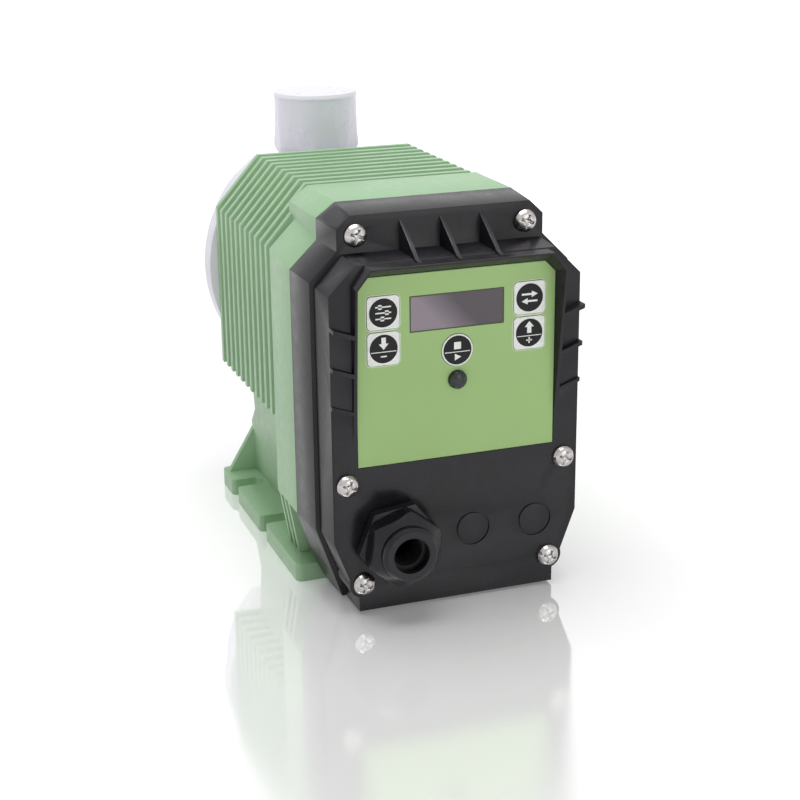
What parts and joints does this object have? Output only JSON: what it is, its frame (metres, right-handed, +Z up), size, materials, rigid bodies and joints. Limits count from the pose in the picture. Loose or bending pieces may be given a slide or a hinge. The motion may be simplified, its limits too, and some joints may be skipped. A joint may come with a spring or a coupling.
{
  "type": "solenoid diaphragm metering pump",
  "caption": "Solenoid-driven diaphragm metering pump with a finned die-cast body, black control cover, keypad, cable gland and white plastic liquid end with union cap nuts.",
  "frame": {"origin": "on the ground plane under the foot, midway between the four mounting slots", "axes": "+Z up, control face towards -Y, liquid end towards +Y, +X to the right seen from the control face"},
  "size_m": [0.125, 0.2258, 0.1901],
  "materials": {
    "green_paint": "satin",
    "black_cover": "fine grain",
    "gasket_rubber": "matte",
    "screw_steel": "bright",
    "label_film": "satin",
    "key_white": "satin",
    "display_glass": "clear",
    "display_grey": "gloss",
    "led_dome": "gloss",
    "black_inner": "matte",
    "board_green": "satin",
    "plated_steel": "zinc plated",
    "bobbin_plastic": "satin",
    "copper_wire": "enamelled",
    "brass_tube": "drawn",
    "bush_plastic": "satin",
    "white_plastic": "satin",
    "cap_white": "satin",
    "diaphragm_ptfe": "waxy",
    "ceramic_ball": "polished"
  },
  "bodies": {
    "pump_body": {"back_plate": "white_plastic", "board_screws": "screw_steel", "coil_bobbin": "bobbin_plastic", "coil_winding": "copper_wire", "control_board": "board_green", "core_bush": "bush_plastic", "cover_gasket": "gasket_rubber", "cover_screws": "screw_steel", "diaphragm": "diaphragm_ptfe", "discharge_cap_liner": "gasket_rubber", "discharge_valve_body": "white_plastic", "discharge_valve_seat": "bush_plastic", "display_module": "display_grey", "display_window": "display_glass", "front_cover": "black_cover", "gland_body": "black_cover", "gland_locknut": "black_cover", "gland_seal": "gasket_rubber", "guide_tube": "brass_tube", "head_screws": "screw_steel", "housing": "green_paint", "keypad_overlay": "label_film", "pole_core": "plated_steel", "pump_head": "white_plastic", "rest_pad": "gasket_rubber", "return_spring": "screw_steel", "rod_seal": "gasket_rubber", "status_led": "led_dome", "stroke_damper": "gasket_rubber", "suction_cap_liner": "gasket_rubber", "suction_inlet_sleeve": "bush_plastic", "suction_valve_body": "white_plastic", "suction_valve_seat": "bush_plastic", "tact_switches": "black_inner", "terminal_block": "black_inner", "transformer": "black_inner", "yoke_can": "plated_steel", "yoke_plate": "plated_steel", "yoke_screws": "screw_steel"},
    "armature_group": {"armature": "plated_steel", "push_rod": "screw_steel", "diaphragm_hub": "bush_plastic"},
    "key_set": {"key_set": "key_white"},
    "key_down": {"key_down": "key_white"},
    "key_mode": {"key_mode": "key_white"},
    "key_up": {"key_up": "key_white"},
    "key_run": {"key_run": "key_white"},
    "discharge_ball": {"discharge_valve_ball": "ceramic_ball"},
    "suction_ball": {"suction_valve_ball": "ceramic_ball"},
    "gland_nut": {"gland_nut": "black_cover"},
    "discharge_cap": {"discharge_cap_nut": "cap_white"},
    "suction_cap": {"suction_cap_nut": "cap_white"}
  },
  "joints": [
    {"name": "stroke", "type": "slide", "parent": "pump_body", "child": "armature_group", "axis": [0, 1, 0], "range_m": [0, 0.0016], "stiffness_N_per_m": 1500, "springref_m": -0.01, "deforming": ["return_spring", "diaphragm"]},
    {"name": "key_set_press", "type": "slide", "parent": "pump_body", "child": "key_set", "axis": [0, 1, 0], "range_m": [0, 0.0006], "stiffness_N_per_m": 1200, "springref_m": -0.0008},
    {"name": "key_down_press", "type": "slide", "parent": "pump_body", "child": "key_down", "axis": [0, 1, 0], "range_m": [0, 0.0006], "stiffness_N_per_m": 1200, "springref_m": -0.0008},
    {"name": "key_mode_press", "type": "slide", "parent": "pump_body", "child": "key_mode", "axis": [0, 1, 0], "range_m": [0, 0.0006], "stiffness_N_per_m": 1200, "springref_m": -0.0008},
    {"name": "key_up_press", "type": "slide", "parent": "pump_body", "child": "key_up", "axis": [0, 1, 0], "range_m": [0, 0.0006], "stiffness_N_per_m": 1200, "springref_m": -0.0008},
    {"name": "key_run_press", "type": "slide", "parent": "pump_body", "child": "key_run", "axis": [0, 1, 0], "range_m": [0, 0.0006], "stiffness_N_per_m": 1200, "springref_m": -0.0008},
    {"name": "discharge_ball_lift", "type": "slide", "parent": "pump_body", "child": "discharge_ball", "axis": [0, 0, 1], "range_m": [0, 0.0025]},
    {"name": "suction_ball_lift", "type": "slide", "parent": "pump_body", "child": "suction_ball", "axis": [0, 0, 1], "range_m": [0, 0.0025]},
    {"name": "gland_nut_turn", "type": "hinge", "parent": "pump_body", "child": "gland_nut", "pos_m": [-0.0271, -0.13, 0.0311], "axis": [0, 1, 0], "continuous": true},
    {"name": "discharge_cap_turn", "type": "hinge", "parent": "pump_body", "child": "discharge_cap", "pos_m": [0, 0.0662, 0.112], "axis": [0, 0, 1], "continuous": true},
    {"name": "suction_cap_turn", "type": "hinge", "parent": "pump_body", "child": "suction_cap", "pos_m": [0, 0.0662, 0.112], "axis": [0, 0, 1], "continuous": true}
  ]
}
